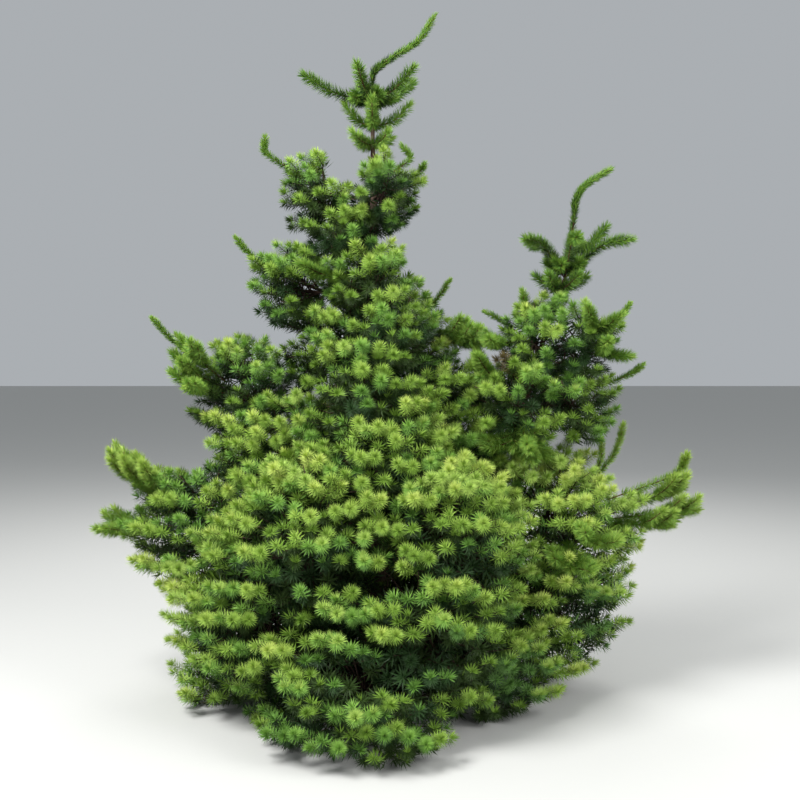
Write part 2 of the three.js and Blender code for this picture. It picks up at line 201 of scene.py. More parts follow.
# How the branches of a mass are laid out
SHELF_SHARE = 0.9  # the lowest and highest shelf, as a share of the mass's half height
BRANCH_WIDTH = 0.115  # arc that one branch covers at the edge of its shelf
BRANCH_TURN = 0.14  # how far a branch may turn from its even bearing, in radians
HEIGHT_VARY = 0.2  # how far it may stand above or below its clump, in shelf spacings
LEAST_SAG, MORE_SAG = 0.02, 0.04
SMALL_BULK = 0.3  # masses with a smaller half width have finer shelves and branches
SMALL_FINENESS = 0.5  # share of their spacing that the smallest would have
SMALLEST = 0.14  # shoots are shorter in masses with a smaller half width than this
RAY_STEPS = 28  # of the walk out to a branch's end
PAST_EDGE = 0.03  # a branch that leaves every mass within this distance ends at open air
CLUMP_ANGLE = 0.5  # branches within this angle on a shelf keep together as a clump
CLUMPS_LEFT_OUT = 0.13
# How far a branch's end is cut back: up to once by its place, and up to these times by the chance
# of its clump and its own
RAGGED = 0.062
CLUMP_TRIM, BRANCH_TRIM = 0.95, 0.2
TUFT = 0.06  # room for a tuft of needles past the end of a branch
TUFT_SHARE = 0.35  # the same as a share of a small mass's half width, where that is less

# Twigs, counted back from the end of their branch: pairs beside it and a few on top of it
ENDING, PAIRED, UPPER = range(3)
FIRST_TWIG = 0.25  # share of a branch that is bare at its foot
TWIG_PAIRS = 10
FIRST_PAIR = 0.02
TWIG_STEP = 0.036
UPPER_TWIGS = 3
FIRST_UPPER = 0.04
UPPER_STEP = 0.06
TWIG_SHIFT = 0.03  # how much further back chance may set one
TWIG_ANGLES = (38, 64)  # between a paired twig and its branch, in degrees
UPPER_WAY = (0.8, 0.7, 0.45)  # of the ones on top: ahead, up and to the side
TWIG_RISE = (-0.1, 0.2)  # how far up chance turns a twig
TWIG_LENGTHS = (0.012, 0.09)
TWIG_GROWTH = 0.45  # how much longer a twig is for each metre further back
END_TWIG = 0.002
UPPER_TWIG = 0.012
# Shoots: how far up chance turns one, how far it turns out from the stem, its length as a share of
# the usual one, how far past the crown and past its own space it may end, as shares of the squared
# half width, and the least height of its tip
SHOOT_RISE = (0.08, 0.5)
SHOOT_OUT = 0.35
SHOOT_LENGTHS = (0.75, 1.2)
OUTER_SLACK, INNER_SLACK = 0.02, 0.4
LOWEST_TIP = 0.03

# Depth in the crown: the steps in which it is measured, with no shoots at the last one, and the
# rise of the ways out to the sides
DEPTH_STEPS = (0.0, 0.035, 0.07, 0.11, 0.15, 0.2, 0.26, 0.34, 0.44)
DEPTH_LIFT = 0.35
# Layers of shoots inwards: the depth from which each starts, the least distance between its
# tufts, and the length and width of its needles as shares of the outer ones'
LAYERS = ((0.0, 0.041, 1.0, 1.0), (0.09, 0.045, 1.05, 1.25), (0.18, 0.05, 1.4, 2.3))
# Boxes of space that the photo shows open: least and greatest x, least and greatest z
OPEN_AIR = (
    (0.87, 1.4, 0.77, 1.0),
    (0.09, 0.33, 1.6, 1.79),
    (0.14, 0.33, 1.79, 1.9),
    (-0.125, -0.07, 1.94, 2.05),
    (0.04, 0.2, 1.99, 2.2),
    (0.79, 0.97, 1.43, 1.6),
    (0.42, 0.535, 1.43, 1.6),
    (-0.87, -0.62, 0.85, 1.0),
)

# Needles: how far one lifts and rolls, where it is widest and how far its halves fold
NEEDLE_LIFT = 0.07
NEEDLE_ROLL = 0.6
NEEDLE_WAIST = 0.4
NEEDLE_FOLD = 0.3
NEEDLE_CLEAR = 0.004  # least height above the ground
SHOOT_LEAN, LEADER_LEAN = 62, 44  # of the needles along long shoots and leaders, in degrees
SHOOT_NEEDLE = 0.041  # their full length there
BLUNT_END = 0.02  # the stretch at a long shoot's tip where they turn forward
OLD_NEEDLES = 9  # behind each tuft
OLD_STRETCH = 0.05  # along the twig behind it
OLD_LENGTH, OLD_WIDTH = 1.25, 2.3  # as shares of the outer ones'
OLD_SHADE = 0.36

# How much fresher or older needles are by where they stand, and the light and shade painted on them
# Painted light towards the top of a mass, painted shade below its middle
MASS_TOP_PAINTED_LIGHT = 0.2  # from the middle of a mass to its top
# Deeper in, needles are older and also darker with painted shade
DEEP_OLDER_AND_SHADED = 3.9  # for each metre of depth
BRANCHES_VARY = 0.2
TUFTS_VARY = 0.07
WARM_SHARE = 0.6
# Below a height the flanks carry painted light, lighter the further out they stand, up to a limit:
# less so on the right, and on the left only low down
SUNNY_TOP = 1.1
SUNNY_START, SUNNY_RANGE = 0.35, 0.4
RIGHT_SUN, LEFT_SUN_TOP = 0.6, 0.55
# Within a tuft: fresher towards its tip, with painted light on the needles that point up and painted
# shade on those that point down
TIP_FRESHER, UPSIDE_PAINTED_LIGHT = 0.16, 0.16
# Along a long shoot, from foot to tip, and what chance, painted light at a low place at the side or a
# leader adds
SHOOT_FRESH, SHOOT_FRESHER = 0.21, 0.29
SHOOTS_VARY = 0.1
SIDE_REACH, FLANK_PAINTED_LIGHT = 0.8, 0.2
SIDE_LOW, SIDE_RISE = 0.5, 0.3
LEADER_OLDER = 0.18

# Kinds of needle: name, label and plain colour
KINDS = (
    ("new_yellow", "Newest tips", (0.44, 0.55, 0.115)),
    ("new_green", "New green", (0.32, 0.465, 0.09)),
    ("fresh_warm", "Fresh, warm", (0.30, 0.43, 0.072)),
    ("mid_warm", "Grown, warm", (0.25, 0.39, 0.06)),
    ("mid_cool", "Grown, cool", (0.195, 0.36, 0.06)),
    ("deep_warm", "Old, warm", (0.15, 0.265, 0.032)),
    ("deep_cool", "Old, cool", (0.105, 0.225, 0.034)),
    ("inner_warm", "Shaded inside, warm", (0.027, 0.054, 0.009)),
    ("inner_cool", "Shaded inside, cool", (0.02, 0.05, 0.012)),
    ("blue_green", "Bluish", (0.095, 0.20, 0.043)),
    ("dry_brown", "Dry", (0.205, 0.165, 0.07)),
)
KIND = {name: i for i, (name, _, _) in enumerate(KINDS)}
NEEDLE_COLOURS = tuple(
    (name, label, f"Needles: {label.lower()}", colour) for name, label, colour in KINDS
)
# The warm and the cool kind of a needle that is fresher than a limit
FRESH_KINDS = (
    (0.74, "new_yellow", "new_green"),
    (0.56, "fresh_warm", "new_green"),
    (0.36, "mid_warm", "mid_cool"),
    (0.12, "deep_warm", "deep_cool"),
    (-math.inf, "inner_warm", "inner_cool"),
)
# Cool needles right of this and below this are bluish where their freshness is in this range
BLUISH_LEFT, BLUISH_TOP = 0.25, 0.45
BLUISH_RANGE = (0.12, 0.5)
# One small patch of dry needles: its middle and half width
DRY_SPOT = np.array([0.462, -0.115, 1.28])
DRY_SIZE = 0.035

# Wood and bark: name, label, description and colour
WOOD_COLOURS = (
    ("twig", "Twigs", "Bark of the twigs", (0.05, 0.03, 0.02)),
    ("new_wood", "New wood", "Bark of the leaders and long shoots", (0.12, 0.05, 0.03)),
    ("bark_low", "Bark, cracks", "Darker bark", (0.035, 0.022, 0.016)),
    ("bark_high", "Bark, plates", "Lighter bark", (0.16, 0.10, 0.075)),
)
BARK_GRAIN, YOUNG_GRAIN = 60, 90  # scale of the noise across the stem
GLOSS_RANGE = 0.12  # how far noise moves a plain finish's roughness either way
# Plain finishes: roughness, scale of the noise and strength of its bump
NEEDLE_FINISH = (0.5, 400, 0.15)
TWIG_FINISH = (0.75, 700, 0.5)
NEW_WOOD_FINISH = (0.65, 900, 0.4)
FLOOR_FINISH = (0.8, 30, 0.0)

# Lengths and counts that a user may change: name, label, description, default and least value
LENGTHS = (
    ("shelf_spacing", "Shelf spacing", "Height from one shelf of branches to the next", 0.088, 0.06),
    ("shoot_length", "Shoot length", "Length of the brush of needles on a twig", 0.046, 0.02),
    ("needle_length", "Needle length", "Length of a needle in the crown", 0.034, 0.01),
    ("needle_width", "Needle width", "Width of a needle at its widest", 0.0033, 0.001),
)
COUNTS = (
    ("outer_needles", "Outer needles", "Needles on a shoot at the outside of the crown", 126, 10),
    ("middle_needles", "Middle needles", "Needles on a shoot a little way in", 58, 10),
    ("inner_needles", "Inner needles", "Needles on a shoot well inside the crown", 24, 10),
    ("long_needles", "Long shoot needles", "Needles to a metre of a long or whorled shoot", 3600, 100),
    ("leader_needles", "Leader needles", "Needles to a metre of a leader", 3600, 100),
)

# The stage: the floor, the room's light, three lamps as name, place, width and power, and the
# camera with its tilt in degrees
FLOOR_HALF = 30.0
FLOOR_COLOUR = (0.52, 0.52, 0.5)
ROOM_COLOUR = (0.9, 0.95, 1.0, 1)
ROOM_LIGHT = 0.45
LAMPS = (
    ("key", (-2.5, -2.6, 4.8), 2.4, 500),
    ("fill", (3.6, -2.6, 3.0), 2.4, 170),
    ("rim", (0.6, 3.6, 4.2), 3.0, 120),
)
LIT_POINT = Vector((0.0, 0.0, 0.9))
CAMERA = {"place": (0.085, -4.04, 1.33), "tilt": -3.0, "lens": 47.25, "sensor": 36, "sees": 200}


# The source's rule for the masses and their spaces


def chance(first, second):
    """A repeatable number from 0 to 1 for a pair of numbers: what is left of a large sine."""
    mixed = np.sin(first * 12.9898 + second * 78.233) * 43758.5453
    return mixed - np.floor(mixed)


def on_curve(route, share):
    """Points of the smooth curve through a route at shares of its length. Each stretch is a
    cubic whose slope at a point is half the step between that point's neighbours."""
    route = np.asarray(route, float)
    share = np.atleast_1d(np.asarray(share, float))
    padded = np.vstack([2 * route[0] - route[1], route, 2 * route[-1] - route[-2]])
    place = np.clip(share, 0, 1) * (len(route) - 1)
    index = np.minimum(place.astype(int), len(route) - 2)
    part = (place - index)[:, None]
    before, start, end, after = (padded[index + k] for k in range(4))
    leave = (end - before) / 2
    arrive = (after - start) / 2
    square = 3 * (end - start) - 2 * leave - arrive
    cube = 2 * (start - end) + leave + arrive
    return start + part * (leave + part * (square + part * cube))


def unit(vectors):
    """Vectors scaled to length one."""
    return vectors / np.maximum(np.linalg.norm(vectors, axis=-1, keepdims=True), 1e-9)


def square_to(way, helper):
    """Two directions square to each way and to each other, the first square to a helper too."""
    side = unit(np.cross(way, helper))
    return side, np.cross(side, way)


def slope_on(route, share):
    """The direction of the smooth curve at shares of its length, from two points near each."""
    return unit(on_curve(route, share + 0.01) - on_curve(route, share - 0.01))


def on_stem(stem, height):
    """The points of a stem's middle line at given heights."""
    share = np.linspace(0, 1, 801)
    line = on_curve(stem["route"], share)
    return on_curve(stem["route"], np.interp(height, line[:, 2], share))


def reach_on(reach, bearing):
    """The reach on an ellipse of left, right, front and back reach, in a direction."""
    left, right, front, back = reach
    across = left if math.cos(bearing) < 0 else right
    deep = front if math.sin(bearing) < 0 else back
    return 1 / math.hypot(math.cos(bearing) / across, math.sin(bearing) / deep)


def bearings(first, count):
    """Even bearings all round in radians, from a first one in degrees."""
    return [math.radians(first + i * 360 / count) for i in range(count)]


def masses_of(tiers, stem):
    """The masses of some tiers, spaced evenly round their stem, each with its edge at its reach."""
    found = []
    for tier, height, bulk, count, first, reach, fresh in tiers:
        for number, bearing in enumerate(bearings(first, count), 1):
            out = MM * (reach_on(reach, bearing) - bulk)
            level = out * np.array([math.cos(bearing), math.sin(bearing), 0])
            mass = {"name": f"{tier}_foliage_{number}", "tier": tier, "stem": stem, "fresh": fresh}
            centre = on_stem(stem, MM * height)[0] + level
            found.append(mass | {"centre": centre, "bulk": MM * bulk, "out": out})
    return found


MASSES = masses_of(TIERS, TRUNK) + masses_of(SECOND_TIERS, SECOND_STEM)
CENTRES = np.array([mass["centre"] for mass in MASSES])
BULKS = np.array([mass["bulk"] for mass in MASSES])
ON_SECOND = np.array([mass["stem"] is SECOND_STEM for mass in MASSES])
STRETCH = np.array([1, 1, FLATNESS])
MASS_NAMES = [mass["name"] for mass in MASSES]
NAMES = MASS_NAMES + sorted({whorl[0] for whorl in WHORLS})
LEADER_NODES = [NAMES.index(name) for name in ("leader_foliage", "second_leader_foliage")]


def shortfalls(points):
    """For each point and mass, the squared distance to the mass's middle, stretched in height,
    less the half width squared. It is under zero inside the mass's ellipsoid."""
    away = (points[..., None, :] - CENTRES) * STRETCH
    return (away**2).sum(-1) - BULKS**2


def own_shortfall(points, mass):
    """The shortfall of each point's own mass, and the least of all masses."""
    short = shortfalls(points)
    return np.take_along_axis(short, mass[..., None], -1)[..., 0], short.min(-1)


def in_space(points, mass):
    """True where a point lies in its mass's space: inside the ellipsoid, nearer to it than to
    any neighbour's, and above the ground."""
    own, least = own_shortfall(points, mass)
    return (own < 0) & (own <= least + 1e-9) & (points[..., 2] > GROUND_CLEAR)


def away_from_stem(points, mass):
    """The level direction from the stem that carries each point's mass to the point."""
    heights = points[..., 2].ravel()
    trunk = on_stem(TRUNK, heights).reshape(points.shape)
    second = on_stem(SECOND_STEM, heights).reshape(points.shape)
    out = points - np.where(ON_SECOND[mass][..., None], second, trunk)
    out[..., 2] = 0
    return unit(out)


def depth_of(points):
    """How deep in the crown each point lies: the least way to walk before leaving every mass,
    straight up or level and a little upwards to each of eight sides."""
    turn = np.pi / 4 * np.arange(8)
    ways = np.stack([np.cos(turn), np.sin(turn), np.full(8, DEPTH_LIFT)], -1)
    ways = np.vstack([unit(ways), UP])
    depth = np.full(len(points), 1.5 * DEPTH_STEPS[-1])
    left = np.arange(len(points))
    for step in DEPTH_STEPS:
        for way in ways:
            outside = (shortfalls(points[left] + step * way) > 0).all(-1)
            depth[left[outside]] = step
            left = left[~outside]
    return depth


def in_open_air(points):
    """True where a point lies in one of the boxes of open space."""
    x, _, z = points.T
    gaps = [(x > left) & (x < right) & (z > low) & (z < high) for left, right, low, high in OPEN_AIR]
    return np.any(gaps, axis=0)


# Limbs that the solids have too


def has_bough(mass):
    """Whether a bough carries the mass. The masses nearer to a stem grow straight from it."""
    return mass["tier"] in BOUGH_TIERS and mass["out"] > BOUGH_REACH


def bough_route(mass):
    """A bough leaves its stem lower than its mass, sags a little and rises to it."""
    start = on_stem(mass["stem"], mass["centre"][2] - mass["out"] * BOUGH["rise"])[0]
    tip = start + BOUGH["ends"] * (mass["centre"] - start)
    middle = (start + tip) / 2 - BOUGH["sag"] * mass["out"] * UP
    return np.array([start, middle, tip])


def mass_stem(mass):
    """The two ends of a mass's own stem, from its bough's tip or the trunk to its middle."""
    if has_bough(mass):
        return np.array([bough_route(mass)[-1], mass["centre"]])
    low = mass["centre"][2] - mass["bulk"] * STEM_DROP
    return np.array([on_stem(mass["stem"], low)[0], mass["centre"]])


MASS_STEMS = np.array([mass_stem(mass) for mass in MASSES])


# Branches, twigs and shoots


def three_point(ends, share):
    """The point of a three-point curve at a share: start, bend and end, mixed by squares."""
    start, bend, end = ends
    share = share[..., None]
    return (1 - share) ** 2 * start + 2 * share * (1 - share) * bend + share**2 * end


def three_point_slope(ends, share):
    """The direction of that curve at a share: its two chords, mixed by the share."""
    start, bend, end = ends
    share = share[..., None]
    return unit((1 - share) * (bend - start) + share * (end - bend))


def unevenness(points):
    """A smooth number from about -1 to 1 for each point: products of sines of its place along
    turned axes, with waves about 0.3 m long."""
    x, y, z = np.moveaxis(points, -1, 0)
    broad = np.sin(19 * x + 7 * y) * np.sin(23 * z + 5 * x) * np.sin(17 * y - 9 * x + 1)
    fine = np.sin(37 * z + 11 * x) * np.sin(31 * x - 13 * y + 2)
    return 1.3 * broad + 0.5 * fine


def branch_places(shelf_spacing):
    """Mass, height and bearing of every branch, before chance moves it. Shelves stand at even
    heights in a mass, and branches at even bearings round each shelf."""
    rows = []
    for index, each in enumerate(MASSES):
        half = each["bulk"] / FLATNESS * SHELF_SHARE
        fine = min(1.0, SMALL_FINENESS + each["bulk"] / SMALL_BULK * (1 - SMALL_FINENESS))
        count = max(2, round(2 * half / (fine * shelf_spacing)))
        for shelf in range(count + 1):
            level = -half + 2 * half * shelf / count
            wide = math.sqrt(max(0.0, each["bulk"] ** 2 - (level * FLATNESS) ** 2))
            arms = max(5, round(2 * math.pi * wide / (fine * BRANCH_WIDTH)))
            turn = chance(index, shelf)
            rows += [
                (index, each["centre"][2] + level, 2 * math.pi * (arm + turn) / arms)
                for arm in range(arms)
            ]
    mass, height, bearing = np.array(rows).T
    return mass.astype(int), height, bearing


def grow_branches(shelf_spacing, rng):
    """Branches of every mass. They go out to the edge of the mass's space, found by walking out.
    By chance, clumps of them are left out or, where they end at open air, cut back."""
    mass, height, bearing = branch_places(shelf_spacing)
    clump = 100 * np.round(height, 3) + np.floor(bearing / CLUMP_ANGLE + chance(mass, 1))
    shift = chance(clump, 4) - 0.5 + rng.uniform(-HEIGHT_VARY, HEIGHT_VARY, len(mass))
    height = height + shelf_spacing * shift
    bearing = bearing + rng.uniform(-BRANCH_TURN, BRANCH_TURN, len(mass))
    out = np.stack([np.cos(bearing), np.sin(bearing), np.zeros(len(mass))], -1)
    hub = CENTRES[mass].copy()
    hub[:, 2] = height
    walk = np.linspace(0.02, 1, RAY_STEPS)[None, :] * BULKS[mass][:, None]
    points = hub[:, None, :] + walk[..., None] * out[:, None, :]
    inside = in_space(points, np.repeat(mass[:, None], RAY_STEPS, 1))
    reach = np.where(inside, walk, 0).max(1)
    inner = np.where(inside, walk, np.inf).min(1)
    edge = hub + (reach + PAST_EDGE)[:, None] * out
    is_open = shortfalls(edge).min(-1) > 0
    trim = np.clip(unevenness(edge), 0, 1) + CLUMP_TRIM * chance(clump, 9)
    trim = trim + BRANCH_TRIM * rng.random(len(mass))
    tuft = np.minimum(TUFT, TUFT_SHARE * BULKS[mass])
    trimmed = reach - np.minimum(RAGGED * trim, 1.5 * tuft) - 0.9 * tuft
    reach = np.where(is_open, trimmed, reach + 0.01)
    kept = (reach - inner > -0.02) & (chance(clump, 6) > CLUMPS_LEFT_OUT)
    kept &= ~in_open_air(hub + reach[:, None] * out)
    mass, hub, out, reach, inner = (each[kept] for each in (mass, hub, out, reach, inner))
    stems = MASS_STEMS[mass]
    along = rng.uniform(0.5, 1.0, (len(mass), 1))
    start = stems[:, 0] + along * (stems[:, 1] - stems[:, 0])
    end = hub + np.maximum(reach, 0.02)[:, None] * out
    sag = LEAST_SAG + MORE_SAG * rng.random((len(mass), 1))
    bend = hub + 0.5 * reach[:, None] * out - sag * UP
    return {"mass": mass, "ends": (start, bend, end), "room": reach - inner + TUFT}


def twig_places(branch, rng):
    """Where the twigs leave every branch: their kinds, distances back from its end, sides, rows of
    the branch and shares of its length. One ends the branch, pairs stand beside it, and a few
    stand on its upper side."""
    count = len(branch["mass"])
    start, _, end = branch["ends"]
    length = 1.05 * np.linalg.norm(end - start, axis=1)
    kind = np.repeat([[ENDING] + [PAIRED] * 2 * TWIG_PAIRS + [UPPER] * UPPER_TWIGS], count, 0)
    pairs_back = FIRST_PAIR + TWIG_STEP * np.repeat(np.arange(TWIG_PAIRS), 2)
    upper_back = FIRST_UPPER + UPPER_STEP * np.arange(UPPER_TWIGS)
    back = np.concatenate([[0.0], pairs_back, upper_back])[None, :]
    back = back + rng.uniform(0, TWIG_SHIFT, kind.shape) * (kind != ENDING)
    side = [[0.0], np.tile([-1.0, 1.0], TWIG_PAIRS), rng.uniform(-1, 1, UPPER_TWIGS)]
    side = np.repeat(np.concatenate(side)[None, :], count, 0)
    row = np.repeat(np.arange(count)[:, None], kind.shape[1], 1)
    share = 1 - back / length[:, None]
    fits = (share > FIRST_TWIG) & (back < branch["room"][:, None] + 0.02)
    return [each[fits] for each in (kind, back, side, row, share)]


def shoots_of(branch, shoot_length, rng):
    """Shoots of every branch, one at the end of each twig. The paired twigs are longer towards
    the branch's foot. A shoot keeps to its mass's space with a little slack, and out of the boxes
    of open space."""
    kind, back, side, row, share = twig_places(branch, rng)
    ends = [each[row] for each in branch["ends"]]
    root = three_point(ends, share)
    along = three_point_slope(ends, share)
    across = unit(np.cross(along, UP)) * side[:, None]
    angle = np.radians(rng.uniform(*TWIG_ANGLES, (len(row), 1)))
    spread = np.cos(angle) * along + np.sin(angle) * across
    ahead, rise, beside = UPPER_WAY
    way = np.where((kind == UPPER)[:, None], ahead * along + rise * UP + beside * across, spread)
    way = np.where((kind == ENDING)[:, None], along, way)
    way = unit(way + rng.uniform(*TWIG_RISE, (len(row), 1)) * UP)
    size = np.clip(TWIG_GROWTH * back + 0.008, *TWIG_LENGTHS) * rng.uniform(0.75, 1.15, len(row))
    size = np.select([kind == ENDING, kind == UPPER], [END_TWIG, UPPER_TWIG], size)
    mass = branch["mass"][row]
    base = root + size[:, None] * way
    way = unit(way + rng.uniform(*SHOOT_RISE, (len(row), 1)) * UP)
    way = unit(way + SHOOT_OUT * away_from_stem(base, mass))
    long = shoot_length * rng.uniform(*SHOOT_LENGTHS, len(row))
    long = long * np.clip(BULKS[mass] / SMALLEST, 0.5, 1)
    tip = base + long[:, None] * way
    own, least = own_shortfall(tip, mass)
    slack = np.maximum(BULKS[mass], SMALLEST) ** 2
    inside = (least < OUTER_SLACK * slack) & (own <= least + INNER_SLACK * slack)
    inside &= (tip[:, 2] > LOWEST_TIP) & ~in_open_air(tip)
    grown = dict(mass=mass, branch=row, root=root, base=base, tip=tip, way=way, long=long)
    grown = {key: value[inside] for key, value in grown.items()}
    grown["depth"] = depth_of(grown["tip"])
    return grown


def thinned(shoots, rng):
    """The shoots that are left when, from the outermost inwards, each one that stays clears the
    shoots nearer to it than their own layer's distance. So the tufts stand evenly apart, and
    wider apart deeper in, where they also carry fewer needles."""
    starts, apart, _, _ = np.array(LAYERS).T
    layer = np.searchsorted(starts, shoots["depth"], side="right") - 1
    apart = apart[layer]
    tree = KDTree(len(layer))
    for index, tip in enumerate(shoots["tip"]):
        tree.insert(tip, index)
    tree.balance()
    is_cleared = np.zeros(len(layer), bool)
    kept = []
    for index in np.argsort(shoots["depth"] + 0.012 * rng.random(len(layer))):
        if is_cleared[index]:
            continue
        kept.append(index)
        for _, other, distance in tree.find_range(shoots["tip"][index], LAYERS[-1][1]):
            is_cleared[other] |= distance < apart[other]
    kept = np.sort(kept)
    shoots = {name: value[kept] for name, value in shoots.items()}
    shoots["layer"] = layer[kept]
    return shoots


@functools.lru_cache(maxsize=1)
def grow_crown(shelf_spacing, shoot_length):
    """All branches and the shoots that are left on them, the same at every call."""
    rng = np.random.default_rng(CROWN_SEED)
    branches = grow_branches(shelf_spacing, rng)
    shoots = shoots_of(branches, shoot_length, rng)
    near = shoots["depth"] < DEPTH_STEPS[-1]
    shoots = {key: value[near] for key, value in shoots.items()}
    return branches, thinned(shoots, rng)


def side_shoots(route, share, long, way, sag):
    """Routes of the pair of short shoots that leave a route at a share of it. Each runs from its
    foot to its tip with a bend that sags."""
    foot = on_curve(route, share)[0]
    ahead = slope_on(route, np.array([share]))[0]
    beside = unit(np.cross(ahead, UP))
    forwards, sideways, rise, tilt = way
    found = []
    for side in (-1, 1):
        out = unit(forwards * ahead + sideways * side * beside + (rise + tilt * side) * UP)
        tip = foot + long * out
        found.append(np.array([foot, (foot + tip) / 2 - sag * long * UP, tip]))
    return found


def vigorous_shoots():
    """Routes of the long shoots, the whorls and the leaders: node, route, spread, share of the
    route that is bare at its foot, and whether it is a leader."""
    rows = []
    centres = dict(zip(MASS_NAMES, CENTRES))
    for name, *shoots in LONG_SHOOTS:
        for *tip, bow, spread in shoots:
            tip = MM * np.array(tip)
            start = centres[name] + LONG_START * (tip - centres[name])
            middle = start + LONG_BEND * (tip - start) + [MM * bow, 0, 0]
            routes = [np.array([start, middle, tip])]
            for place in SIDE_PLACES if spread >= SPRAY_SPREAD else ():
                long = SIDE_LENGTH * (1 - 0.5 * place)
                routes += side_shoots(routes[0], place, long, SIDE_WAY, SIDE_SAG)
            rows += [(name, route, MM * spread, LONG_BARE, False) for route in routes]
    for name, stem, height, count, first, rise, reach, dip, spread, leader in WHORLS:
        foot = on_stem(stem, MM * height)[0]
        for bearing in bearings(first, count):
            long = reach_on(reach, bearing)
            out = MM * np.array([long * math.cos(bearing), long * math.sin(bearing), rise])
            bend = foot + WHORL_BEND * out - dip * MM * rise * UP
            routes = [np.array([foot, bend, foot + out])]
            if leader:
                routes += side_shoots(routes[0], FOOT_PLACE, FOOT_LENGTH, FOOT_WAY, 0)
            rows += [(name, route, MM * spread, WHORL_BARE, False) for route in routes]
        if leader:
            route = np.vstack([foot, MM * np.array(leader)])
            rows.append((name, route, LEADER_SPREAD, LEADER_BARE, True))
    return rows


# Meshes


def new_object(name, data):
    """An object in the scene that holds some data: a mesh, a light or a camera."""
    made = bpy.data.objects.new(name, data)
    bpy.context.scene.collection.objects.link(made)
    return made


def mesh_object(name, points, faces, material, smooth=True):
    """One mesh piece from an array of points and an array of triangles or quads."""
    mesh = bpy.data.meshes.new(name)
    corners = faces.shape[1]
    mesh.vertices.add(len(points))
    mesh.vertices.foreach_set("co", points.astype(np.float32).ravel())
    mesh.loops.add(faces.size)
    mesh.loops.foreach_set("vertex_index", faces.astype(np.int32).ravel())
    mesh.polygons.add(len(faces))
    mesh.polygons.foreach_set("loop_start", np.arange(0, faces.size, corners, dtype=np.int32))
    mesh.polygons.foreach_set("use_smooth", np.full(len(faces), smooth))
    mesh.update(calc_edges=True)
    mesh.materials.append(material)
    return new_object(name, mesh)


def tree_piece(name, shape, material, nodes, smooth=True):
    """A piece that rides on the tree's one body, stands for some nodes and takes a slot's
    finish. Its shape is its points and faces."""
    piece = mesh_object(name, *shape, material, smooth)
    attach(piece, BODY)
    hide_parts(*nodes)


def skin_faces(rings, sides, clockwise):
    """Triangles of a closed skin: rings of points and one more point at each end, with the faces
    outwards. A ring's points go round clockwise or not, seen from the far end."""
    here = np.arange(sides)
    after = (here + 1) % sides
    if not clockwise:
        here, after = after, here
    ring = sides * np.arange(rings - 1)[:, None]
    top = sides * (rings - 1)
    first = np.full(sides, rings * sides)
    faces = [
        np.stack([ring + here, ring + sides + after, ring + after], -1).reshape(-1, 3),
        np.stack([ring + here, ring + sides + here, ring + sides + after], -1).reshape(-1, 3),
        np.stack([first, here, after], -1),
        np.stack([first + 1, top + after, top + here], -1),
    ]
    return np.concatenate(faces)


def tubes(lines, radii, sides):
    """Closed round rods along many lines at once. lines holds the ring centres of each rod,
    and radii the rings' radii, the same for all rods. A ring's points are the centre plus the
    radius along two directions square to the line, turned evenly; a point closes each end.
    Returns points and triangles."""
    rods, rings = lines.shape[:2]
    chord = unit(lines[:, -1] - lines[:, 0])
    helper = np.where(np.abs(chord[:, 2:3]) < 0.8, UP, np.array([1.0, 0.0, 0.0]))
    side, lift = square_to(unit(np.gradient(lines, axis=1)), helper[:, None, :])
    turn = 2 * np.pi * np.arange(sides) / sides
    spoke = np.cos(turn)[:, None] * side[:, :, None] + np.sin(turn)[:, None] * lift[:, :, None]
    walls = lines[:, :, None, :] + np.reshape(radii, (rings, 1, 1)) * spoke
    caps = np.stack([lines[:, 0], lines[:, -1]], 1)
    points = np.concatenate([walls.reshape(rods, -1, 3), caps], 1)
    faces = skin_faces(rings, sides, clockwise=True)
    faces = faces[None] + (points.shape[1] * np.arange(rods))[:, None, None]
    return points.reshape(-1, 3), faces.reshape(-1, 3)


def bark_surface(stem):
    """The skin of a stem as a grid of shares along it and turns round it. The radius runs from
    foot to tip, swells at the root with buttresses, and carries the bark's relief: low wavy
    plates that come from products of sines, with fine cracks and ripples."""
    rings, sides = stem["steps"]
    share = np.linspace(0, 1, rings)
    turn = 2 * np.pi * np.arange(sides) / sides
    line = on_curve(stem["route"], share)
    height = line[:, 2] - line[0, 2]
    radius = stem["foot"] + (stem["tip"] - stem["foot"]) * height / height[-1]
    swell = stem["flare"] * np.exp(-height / stem["flare_height"])
    lobes = 1 - stem["buttress_depth"] * (1 - np.cos(stem["buttresses"] * turn))
    along, around = height[:, None], turn[None, :]
    drift = np.sin(9 * along + 3 * around) + 0.6 * np.sin(31 * along - 2 * around)
    plates = np.sin(5 * around + 1.4 * drift) * np.sin(48 * along + 2 * drift)
    cracks = np.abs(np.sin(4.5 * around + 0.9 * drift)) ** 6
    ripple = 0.35 * np.sin(170 * along + 3 * np.sin(2 * around))
    relief = 1 + stem["relief"] * (0.5 * plates - cracks + ripple)
    radii = (radius[:, None] + swell[:, None] * lobes) * relief
    way = slope_on(stem["route"], np.clip(share, 0.01, 0.99))
    side, lift = square_to(way, np.array([0.0, 1.0, 0.0]))
    spoke = np.cos(around)[..., None] * side[:, None] - np.sin(around)[..., None] * lift[:, None]
    walls = line[:, None] + radii[..., None] * spoke
    points = np.concatenate([walls.reshape(-1, 3), line[:1], line[-1:]])
    points[:, 2] = np.maximum(points[:, 2], 0)
    return points, skin_faces(rings, sides, clockwise=False)


def merged(parts):
    """Several (points, faces) pairs as one."""
    counts = np.cumsum([0] + [len(points) for points, _ in parts])
    points = np.concatenate([points for points, _ in parts])
    faces = np.concatenate([faces + shift for (_, faces), shift in zip(parts, counts)])
    return points, faces


# Wood


def taper(radii, share):
    """A radius that runs evenly from the one at the foot to the one at the tip."""
    foot, tip = radii
    return foot + (tip - foot) * share


